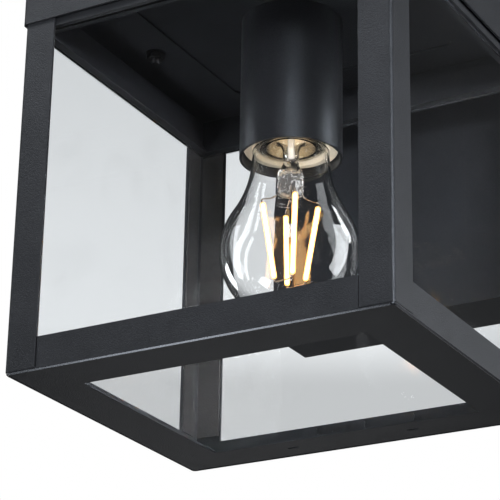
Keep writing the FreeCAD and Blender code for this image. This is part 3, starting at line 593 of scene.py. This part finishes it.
def seamed_pane(node):
    """Pane of glass with its sharp edges ground off."""
    low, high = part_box(node)
    bm = bmesh.new()
    bmesh.ops.create_cube(bm, size=1.0)
    size = high - low
    for vert in bm.verts:
        vert.co = Vector((vert.co.x * size.x, vert.co.y * size.y, vert.co.z * size.z)) + (low + high) / 2
    bmesh.ops.bevel(bm, geom=bm.edges, offset=pane_bevel, segments=2, profile=0.5, affect="EDGES")
    add_piece(node + "_glass", bm, "lantern", "pane_glass", node, sharp=5.0)


def hexagon(flats):
    """Reach of a hexagon at an angle, for a given width across its flats."""
    return lambda angle: flats / 2 / math.cos((angle + math.pi / 6) % (math.pi / 3) - math.pi / 6)


def hex_nut(bm, place, flats, bore, height):
    """Nut with both faces chamfered to a circle and a countersunk bore."""
    sides = 72
    circle = nut_circle_share * flats / 2
    outline = ring(hexagon(flats), 0.0, sides)
    drop = [up((point.length - circle) * math.tan(nut_chamfer)) for point in outline]
    rings = turned_rings([(bore, nut_sink), (bore + nut_sink, 0.0), (circle, 0.0)], sides)
    rings.append([point + fall for point, fall in zip(outline, drop)])
    rings.append([point + up(height) - fall for point, fall in zip(outline, drop)])
    rings += turned_rings([(circle, height), (bore + nut_sink, height), (bore, height - nut_sink)], sides)
    skin(bm, rings, place, loop=True)


def threaded_rod(bm, place, crest, depth, pitch, length):
    """Rod with a cut thread that fades out at its chamfered ends."""
    sides = 24
    count = int(length / pitch * steps_per_pitch)
    rings = []
    for step in range(count + 1):
        level = length * step / count
        end = min(level, length - level)
        fade = min(1.0, end / pitch)
        chamfer = max(0.0, depth - end)

        def reach(angle):
            phase = (level / pitch - angle / (2 * math.pi)) % 1.0
            return crest - depth * fade * abs(2 * phase - 1) - chamfer
        rings.append(ring(reach, level, sides))
    skin(bm, rings, place)


def cross_recess(half_arm, half_width):
    """Reach of a cross-shaped recess at an angle."""
    def reach(angle):
        turn = abs((angle + math.pi / 4) % (math.pi / 2) - math.pi / 4)
        if math.tan(turn) <= half_width / half_arm:
            return half_arm / math.cos(turn)
        return half_width / math.sin(turn)
    return reach


def slot_recess(half_length, half_width):
    """Reach of a straight screwdriver slot at an angle."""
    def reach(angle):
        along = abs(math.cos(angle)) / half_length
        across = abs(math.sin(angle)) / half_width
        return 1.0 / max(along, across)
    return reach


def screw(bm, place, shank, length, head, height, recess, recess_depth):
    """Screw made head up: shank, domed head and the recess for the driver."""
    sides = 96
    point = 0.3 * MM
    edge = 0.2 * MM
    rings = turned_rings([(shank - point, -length), (shank, point - length), (shank, 0.0), (head - edge, 0.0),
                          (head, edge)], sides)
    rings += turned_rings([(share * head, rise * height) for share, rise in dome_section], sides)
    rings.append(ring(recess, height, sides))
    rings.append([Vector((recess_taper * mouth.x, recess_taper * mouth.y, mouth.z - recess_depth))
                  for mouth in rings[-1]])
    skin(bm, rings, place)


def tray_rim():
    """Chamfered rim along the lower edge of the tray, level with the posts."""
    low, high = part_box("bottom_frame")
    middle = (low + high) / 2
    reach = (high - low) / 2
    corner_steps = 6
    rings = []
    for out, level in rim_section:
        corner = (rim_corner + out) * MM
        inset = corner - out * MM
        points = []
        for turn, (side_x, side_y) in enumerate(((1, 1), (-1, 1), (-1, -1), (1, -1))):
            centre = Vector((side_x * (reach.x - inset), side_y * (reach.y - inset), level * MM))
            for step in range(corner_steps + 1):
                angle = math.pi / 2 * (turn + step / corner_steps)
                points.append(centre + corner * Vector((math.cos(angle), math.sin(angle), 0.0)))
        rings.append(points)
    bm = bmesh.new()
    skin(bm, rings, Matrix.Translation((middle.x, middle.y, low.z)), loop=True)
    add_piece("tray_rim", bm, "lantern", "coated_metal", finish="rim_coat", sharp=25.0)


def roof_fixings():
    """Two blackened studs and their nuts under the ceiling."""
    low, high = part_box("cap_studs")
    nut_low, nut_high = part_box("stud_nuts")
    crest = (high.y - low.y) / 2
    middle = (low.y + high.y) / 2
    studs = bmesh.new()
    nuts = bmesh.new()
    for across in (low.x + crest, high.x - crest):
        threaded_rod(studs, standing(Vector((across, middle, low.z)), (0, 0, 1)), crest, stud_thread_depth,
                     stud_pitch, high.z - low.z)
        hex_nut(nuts, standing(Vector((across, middle, nut_low.z)), (0, 0, 1)), nut_high.y - nut_low.y,
                crest + thread_play, nut_high.z - nut_low.z)
    add_piece("threaded_studs", studs, "lantern", "black_fastener", "cap_studs")
    add_piece("chamfered_stud_nuts", nuts, "lantern", "black_fastener", "stud_nuts")


def hidden_nuts():
    """Nuts inside the roof and the wall box."""
    low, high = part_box("box_nuts")
    half = (high.x - low.x) / 2 - (high.z - low.z) / 2 / math.cos(math.pi / 6)
    nuts = bmesh.new()
    for across in (-half, half):
        place = standing(Vector((across, low.y, (low.z + high.z) / 2)), (0, 1, 0))
        hex_nut(nuts, place, high.z - low.z, small_bore, high.y - low.y)
    add_piece("chamfered_box_nuts", nuts, "lantern", "plated_steel", "box_nuts")
    for node, bore in (("earth_nut", small_bore), ("nipple_locknut", nipple_bore)):
        low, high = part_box(node)
        place = standing(Vector(((low.x + high.x) / 2, (low.y + high.y) / 2, low.z)), (0, 0, 1))
        nut = bmesh.new()
        hex_nut(nut, place, high.y - low.y, bore, high.z - low.z)
        add_piece("chamfered_" + node, nut, "lantern", "plated_steel", node)


def box_side_screws():
    """Cross-recessed screws that hold the wall box to its bracket, one on each side."""
    low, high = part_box("bracket_screws")
    head = (high.y - low.y) / 2
    middle = (low + high) / 2
    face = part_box("wall_box")[1].x
    screws = bmesh.new()
    for side in (-1, 1):
        screw(screws, standing(Vector((side * face, middle.y, middle.z)), (side, 0, 0)), side_screw_radius,
              side_screw_length, head, high.x - face, cross_recess(*side_screw_cross), side_screw_recess)
    add_piece("cross_recessed_screws", screws, "lantern", "black_fastener", "bracket_screws")


def slotted_terminal_screws():
    """Six brass screws in two rows over the terminal block."""
    low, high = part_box("terminal_screws")
    face = high.y - terminal_head_height
    screws = bmesh.new()
    for across in (low.x + terminal_head, 0.0, high.x - terminal_head):
        for level in (low.z + terminal_head, high.z - terminal_head):
            screw(screws, standing(Vector((across, face, level)), (0, 1, 0)), terminal_shank, face - low.y,
                  terminal_head, terminal_head_height, slot_recess(*terminal_slot), terminal_slot_depth)
    add_piece("slotted_terminal_screws", screws, "lantern", "brass", "terminal_screws")


def screw_cap():
    """Rolled bulb cap: flared rim, one running thread and a drawn-in end."""
    sides = 96
    button_low, button_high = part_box("bulb_insulator")
    root = (button_high.x - button_low.x) / 2
    rim = (cap_high.x - cap_low.x) / 2
    foot = cap_high.z - thread_turns * thread_pitch
    rings = turned_rings([
        (root - cap_wall, cap_low.z),
        (rim - cap_edge, cap_low.z),
        (rim, cap_low.z + cap_edge_rise),
        (rim, cap_low.z + cap_wall),
        (rim - cap_tuck, cap_low.z + cap_tuck_rise),
        (root + cap_swell, (cap_low.z + foot) / 2),
    ], sides)
    count = steps_per_turn * thread_turns
    for step in range(count + 1):
        level = foot + thread_turns * thread_pitch * step / count
        fade = min(1.0, (level - foot) / thread_pitch, (cap_high.z - level) / thread_pitch)

        def reach(angle):
            phase = level / thread_pitch - angle / (2 * math.pi)
            return root + thread_depth * fade * (0.5 - 0.5 * math.cos(2 * math.pi * phase))
        rings.append(ring(reach, level, sides))
    rings += turned_rings([(root - cap_wall, cap_high.z)], sides)
    bm = bmesh.new()
    skin(bm, rings, Matrix.Translation(lamp_axis), loop=True)
    add_piece("screw_cap", bm, "bulb", "bulb_cap_metal", "bulb_cap", sharp=60.0)


def pressed_stem():
    """Glass stem: hollow trumpet at the cap, drawn down to a tube and pressed flat around the wires."""
    sides = 64
    flare = (stem_high.x - stem_low.x) / 2
    pressed = stem_low.z + pinch_top
    turn = Matrix.Rotation(filament_turn, 3, "Z")
    section = (*stem_inside, (flare / MM, stem_lip_rise), *stem_outside)
    rings = turned_rings([(radius * MM, pressed + level * MM) for radius, level in section], sides)
    pinch_start = pressed + pinch_lead
    steps = 26
    for step in range(steps + 1):
        share = step / steps
        level = pinch_start - share * (pinch_start - stem_low.z)
        flatten = min(1.0, share / flat_from)
        spread = flatten ** 2 * (3 - 2 * flatten)
        close = 1.0 - closing_share * max(0.0, (share - closing_from) / closing_length)
        half_width = (stem_radius + spread * (pinch_half_width - stem_radius)) * close
        half_depth = (stem_radius + spread * (pinch_half_depth - stem_radius)) * close
        points = []
        for point in ring(1.0, level, sides):
            spot = Vector((point.x * half_width, point.y * half_depth, level))
            crinkle = 1.0
            for depth, lumps in stem_crinkles:
                crinkle += depth * spread * noise.noise(spot * lumps)
            points.append(turn @ Vector((spot.x * crinkle, spot.y * crinkle, level)))
        rings.append(points)
    bm = bmesh.new()
    skin(bm, rings, Matrix.Translation(lamp_axis))
    stem = add_piece("pressed_stem", bm, "bulb", "bulb_glass", "bulb_stem", finish="stem_glass", sharp=60.0)
    # The pressed end gets the glass whose white share is painted sparkle.
    stem.data.materials.append(finishes["pressed_glass_painted_sparkle"])
    for face in stem.data.polygons:
        if face.center.z < pressed - crinkle_margin:
            face.material_index = 1
    # The exhaust tube's milky white share is a painted highlight.
    exhaust = bmesh.new()
    rings = turned_rings([(radius * MM, pressed + level * MM) for radius, level in exhaust_section],
                         sides // 2)
    skin(exhaust, rings, Matrix.Translation(lamp_axis), loop=True)
    add_piece("exhaust_tube", exhaust, "bulb", "bulb_glass", finish="exhaust_glass_painted_highlight", sharp=60.0)


def cement_with_painted_reflections():
    """Cream cement that fills the cap around the stem, uneven where it was pressed in; the gold-brown of its
    darker speckle is painted reflection.
    """
    sides = 96
    edge = (stem_high.x - stem_low.x) / 2
    rings = []
    for share, rise in cement_section:
        points = []
        for point in ring(share * edge, stem_high.z + rise * MM, sides):
            lump = cement_lump * noise.noise(point * cement_lumps_per_metre) if share < 1.0 else 0.0
            points.append(point + up(lump))
        rings.append(points)
    bm = bmesh.new()
    skin(bm, rings, Matrix.Translation(lamp_axis), loop=True)
    add_piece("cement_with_painted_reflections", bm, "bulb", "holder_body", finish="cement_with_painted_reflections", sharp=80.0)


def filament_ends(step):
    """Top and foot of one filament, and the direction it leans out in."""
    low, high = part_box("bulb_filaments")
    angle = filament_turn + 2 * math.pi * step / filament_count
    outward = Vector((math.cos(angle), math.sin(angle), 0.0))
    top = lamp_axis + outward * filament_top_radius + up(high.z)
    foot = lamp_axis + outward * filament_foot_radius + up(low.z)
    return top, foot, outward


def coated_strip(bm, foot, top, radius, lumps):
    """Lit strip with rounded ends and a slightly uneven coat."""
    sides = 16
    count = 40
    run = top - foot
    turn = run.to_track_quat("Z", "Y")
    rings = []
    for step in range(count + 1):
        share = step / count
        near_end = min(share, 1 - share) * run.length / radius
        round_off = math.sqrt(1 - (1 - min(near_end, 1.0)) ** 2)
        level = foot + run * share
        coat = 1 + lumps * noise.noise(level * coat_lumps_per_metre)
        width = radius * max(round_off, strip_end_share) * coat
        rings.append([level + turn @ offset for offset in ring(width, 0.0, sides)])
    skin(bm, rings)


def filaments():
    """Four lit strips: hot core, warm coat, and a metal tab at each end."""
    cores = bmesh.new()
    sleeves = bmesh.new()
    tabs = bmesh.new()
    for step in range(filament_count):
        top, foot, outward = filament_ends(step)
        along = (top - foot).normalized()
        for coat, inset, radius, lumps in ((cores, core_inset, filament_core, core_lumps),
                                           (sleeves, sleeve_inset, filament_sleeve, sleeve_lumps)):
            coated_strip(coat, foot + along * inset * MM, top - along * inset * MM, radius, lumps)
        across = along.cross(outward).normalized()
        thick = outward * tab_half_thickness * MM
        for end, inward in ((foot, along), (top, -along)):
            rings = []
            for reach, wide in tab_section:
                centre = end + inward * tab_length * reach
                side = across * wide * MM
                rings.append([centre + side + thick, centre - side + thick, centre - side - thick,
                              centre + side - thick])
            skin(tabs, rings)
    add_piece("filament_cores", cores, "bulb", "filament", "bulb_filaments", sharp=60.0)
    add_piece("filament_sleeves", sleeves, "bulb", "filament", finish="filament_sleeve", sharp=60.0)
    add_piece("filament_tabs", tabs, "bulb", "bulb_cap_metal", finish="bulb_wire")


def support_wires():
    """Bent wires from the pressed glass to the filaments' tops, and the links at their feet."""
    bm = bmesh.new()
    middle = lamp_axis + up(stem_low.z)
    for step in range(filament_count):
        top, _, outward = filament_ends(step)
        reach = pinch_half_width if step % 2 == 0 else pinch_half_depth
        path = [middle + outward * (reach + out * MM) + up(rise * MM) for out, rise in wire_start]
        path.append((middle + outward * reach + top) / 2 + up(wire_middle_rise))
        path += [top + outward * out * MM + up(rise * MM) for out, rise in wire_hook]
        round_wire(bm, smooth_path(path), wire_radius)
    sag = up(link_sag)
    for step in range(0, filament_count, 2):
        first = filament_ends(step)[1]
        second = filament_ends(step + 1)[1]
        path = [first + sag * link_end_rise, first - sag * link_end_dip, (first + second) / 2 - sag,
                second - sag * link_end_dip, second + sag * link_end_rise]
        round_wire(bm, smooth_path(path), wire_radius)
    add_piece("bent_support_wires", bm, "bulb", "bulb_cap_metal", "bulb_support_wires", finish="bulb_wire",
              sharp=80.0)


for pane in panes:
    seamed_pane(pane)
tray_rim()
roof_fixings()
hidden_nuts()
box_side_screws()
slotted_terminal_screws()
screw_cap()
pressed_stem()
cement_with_painted_reflections()
filaments()
support_wires()


def photograph_camera():
    """Camera where the photograph was taken from."""
    data = bpy.data.cameras.new("photograph_camera")
    data.sensor_width = 36.0
    data.lens = camera_lens
    data.clip_end = 50.0
    camera = add_object("photograph_camera", data)
    flat = math.cos(camera_pitch)
    forward = Vector((-math.sin(camera_yaw) * flat, math.cos(camera_yaw) * flat, math.sin(camera_pitch)))
    level_right = Vector((math.cos(camera_yaw), math.sin(camera_yaw), 0.0))
    level_down = forward.cross(level_right)
    right = level_right * math.cos(camera_roll) - level_down * math.sin(camera_roll)
    down = level_down * math.cos(camera_roll) + level_right * math.sin(camera_roll)
    turn = Matrix((right, -down, -forward)).transposed().to_4x4()
    cage_low, cage_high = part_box("bottom_frame")
    cage_foot = Vector(((cage_low.x + cage_high.x) / 2, (cage_low.y + cage_high.y) / 2, cage_low.z))
    camera.matrix_world = Matrix.Translation(cage_foot + camera_from_cage) @ turn
    bpy.context.scene.camera = camera


def clear_sight(tree, path):
    """1 for a ray that comes through glass alone, without a bounce on the way."""
    bounces = add_node(tree, "ShaderNodeMath", operation="ADD")
    straight = add_node(tree, "ShaderNodeMath", operation="LESS_THAN")
    straight.inputs[1].default_value = half_bounce
    clear = add_node(tree, "ShaderNodeMath", operation="MULTIPLY")
    connect(
        tree,
        (path.outputs["Diffuse Depth"], bounces.inputs[0]),
        (path.outputs["Glossy Depth"], bounces.inputs[1]),
        (bounces.outputs["Value"], straight.inputs[0]),
        (straight.outputs["Value"], clear.inputs[0]),
        (path.outputs["Is Transmission Ray"], clear.inputs[1]),
    )
    return clear.outputs["Value"]


def softbox(name, place, target, width, height, power, spread=80.0):
    """Soft lamp that shines on the object but isn't seen through its panes."""
    data = bpy.data.lights.new(name, "AREA")
    data.shape = "RECTANGLE"
    data.size = width
    data.size_y = height
    data.energy = power
    data.spread = math.radians(spread)
    lamp = add_object(name, data)
    aim(lamp, place, target)
    lamp.visible_transmission = False


def reflected_panel(name, place, target, width, height, strength):
    """White panel of the studio that shows only where the bulb and the tube mirror it behind the panes."""
    bm = bmesh.new()
    bm.faces.new([bm.verts.new((side * width / 2, end * height / 2, 0.0))
                  for side, end in ((-1, -1), (1, -1), (1, 1), (-1, 1))])
    mesh = bpy.data.meshes.new(name)
    bm.to_mesh(mesh)
    bm.free()
    panel = add_object(name, mesh)
    aim(panel, place, target)
    panel.visible_camera = False
    panel.visible_diffuse = False
    panel.visible_shadow = False
    material = bpy.data.materials.new(name)
    material.use_nodes = True
    material.cycles.emission_sampling = "NONE"
    tree = material.node_tree
    tree.nodes.clear()
    output = tree.nodes.new("ShaderNodeOutputMaterial")
    path = tree.nodes.new("ShaderNodeLightPath")
    clear = tree.nodes.new("ShaderNodeBsdfTransparent")
    white = add_node(tree, "ShaderNodeEmission", Color=cool_white, Strength=strength)
    mirrored = add_node(tree, "ShaderNodeMath", operation="GREATER_THAN")
    mirrored.inputs[1].default_value = half_bounce
    shown = add_node(tree, "ShaderNodeMath", operation="MULTIPLY")
    mix = tree.nodes.new("ShaderNodeMixShader")
    connect(
        tree,
        (path.outputs["Glossy Depth"], mirrored.inputs[0]),
        (mirrored.outputs["Value"], shown.inputs[0]),
        (path.outputs["Is Transmission Ray"], shown.inputs[1]),
        (shown.outputs["Value"], mix.inputs["Fac"]),
        (clear.outputs["BSDF"], mix.inputs[1]),
        (white.outputs["Emission"], mix.inputs[2]),
        (mix.outputs["Shader"], output.inputs["Surface"]),
    )
    mesh.materials.append(material)


def bulb_glow():
    """Warm light of the lit filaments inside the bulb."""
    data = bpy.data.lights.new("bulb_glow", "POINT")
    data.energy = glow_power
    data.color = glow_colour
    data.shadow_soft_size = glow_radius
    lamp = add_object("bulb_glow", data)
    lamp.location = lamp_axis + up(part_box("lamp_tube")[0].z + glow_rise)
    lamp.visible_camera = False
    lamp.visible_transmission = False
    lamp.visible_glossy = False


def studio_world():
    """Plain studio: soft light all round, white to the camera, pale behind glass, dim in reflections."""
    world = bpy.data.worlds.new("studio")
    bpy.context.scene.world = world
    world.use_nodes = True
    tree = world.node_tree
    tree.nodes.clear()
    output = tree.nodes.new("ShaderNodeOutputWorld")
    path = tree.nodes.new("ShaderNodeLightPath")
    place = tree.nodes.new("ShaderNodeTexCoord")
    split = tree.nodes.new("ShaderNodeSeparateXYZ")
    connect(tree, (place.outputs["Generated"], split.inputs["Vector"]))
    sky = tree.nodes.new("ShaderNodeValToRGB")
    for level, tone in sky_stops:
        stop = sky.color_ramp.elements.new(level)
        stop.color = (*[part * tone for part in sky_tint], 1.0)
    sky.color_ramp.elements[0].color = sky_low
    sky.color_ramp.elements[-1].color = sky_high
    connect(tree, (split.outputs["Z"], sky.inputs["Fac"]))
    light = add_node(tree, "ShaderNodeBackground", Color=cool_white, Strength=0.05)
    mirrored = add_node(tree, "ShaderNodeBackground", Color=cool_white, Strength=0.05)
    through = add_node(tree, "ShaderNodeBackground", Strength=1.0)
    seen = add_node(tree, "ShaderNodeBackground", Color=pure_white, Strength=1.0)
    connect(tree, (sky.outputs["Color"], through.inputs["Color"]))
    surface = light.outputs["Background"]
    for share, backdrop in ((path.outputs["Is Glossy Ray"], mirrored), (clear_sight(tree, path), through),
                            (path.outputs["Is Camera Ray"], seen)):
        mix = tree.nodes.new("ShaderNodeMixShader")
        connect(tree, (share, mix.inputs["Fac"]), (surface, mix.inputs[1]),
                (backdrop.outputs["Background"], mix.inputs[2]))
        surface = mix.outputs["Shader"]
    connect(tree, (surface, output.inputs["Surface"]))


def studio_floor():
    """Pale floor that keeps the shadow; plain in sight and through panes, dim in reflections."""
    bpy.ops.mesh.primitive_plane_add(size=floor_reach, location=(0.0, 0.0, floor_level))
    floor = bpy.context.object
    floor.name = "studio_floor"
    material, tree, shader, output = new_material("pale_floor", Roughness=0.7)
    grain = place_group(tree, coat_grain, Grains_per_metre=400.0, Mottle_per_metre=3.0)
    vary_colour(tree, shader, grain.outputs["Speckle"], floor_dark, floor_light)
    path = tree.nodes.new("ShaderNodeLightPath")
    glow = add_node(tree, "ShaderNodeEmission", Color=pure_white, Strength=0.70)
    dim = add_node(tree, "ShaderNodeBsdfDiffuse", Color=floor_mirrored)
    both = tree.nodes.new("ShaderNodeAddShader")
    seen = add_node(tree, "ShaderNodeMath", operation="MAXIMUM")
    mix = tree.nodes.new("ShaderNodeMixShader")
    connect(
        tree,
        (shader.outputs["BSDF"], both.inputs[0]),
        (glow.outputs["Emission"], both.inputs[1]),
        (path.outputs["Is Camera Ray"], seen.inputs[0]),
        (clear_sight(tree, path), seen.inputs[1]),
        (seen.outputs["Value"], mix.inputs["Fac"]),
        (dim.outputs["BSDF"], mix.inputs[1]),
        (both.outputs["Shader"], mix.inputs[2]),
        (mix.outputs["Shader"], output.inputs["Surface"]),
    )
    floor.data.materials.append(material)


photograph_camera()
studio_world()
studio_floor()
softbox("key_softbox", place=(-0.72, -0.84, 0.92), target=cage_middle, width=1.1, height=0.45, power=1.2)
softbox("left_softbox", place=(-1.05, -0.60, -0.42), target=cage_middle, width=0.5, height=0.9, power=2.1)
softbox("window_softbox", place=(0.90, 0.50, -0.20), target=cage_middle, width=0.75, height=1.1, power=3.2)
softbox("tube_softbox", place=(0.72, -0.85, -0.05), target=(0.0, -0.13, 0.0), width=0.34, height=0.16,
        power=3.2)
softbox("edge_softbox", place=(-0.46, -0.56, -0.92), target=(0.0, -0.20, -0.13), width=0.3, height=0.3,
        power=0.6)
softbox("under_softbox", place=(-0.55, 0.83, -0.52), target=(0.0, -0.13, -0.27), width=0.5, height=0.5,
        power=0.011, spread=26.0)
reflected_panel("right_panel", place=(0.90, 0.42, 0.0), target=cage_middle, width=0.6, height=1.2,
                strength=7.0)
reflected_panel("left_panel", place=(-1.0, -0.55, 0.0), target=cage_middle, width=0.6, height=1.2,
                strength=3.2)
reflected_panel("tube_panel", place=(0.53, -1.06, 0.20), target=(0.0, -0.118, 0.03), width=0.18, height=0.45,
                strength=14.0)
reflected_panel("tube_side_panel", place=(-1.03, 0.12, -0.12), target=(0.0, -0.12, 0.02), width=0.22,
                height=0.36, strength=19.0)
bulb_glow()
bpy.context.scene.view_settings.view_transform = "Standard"
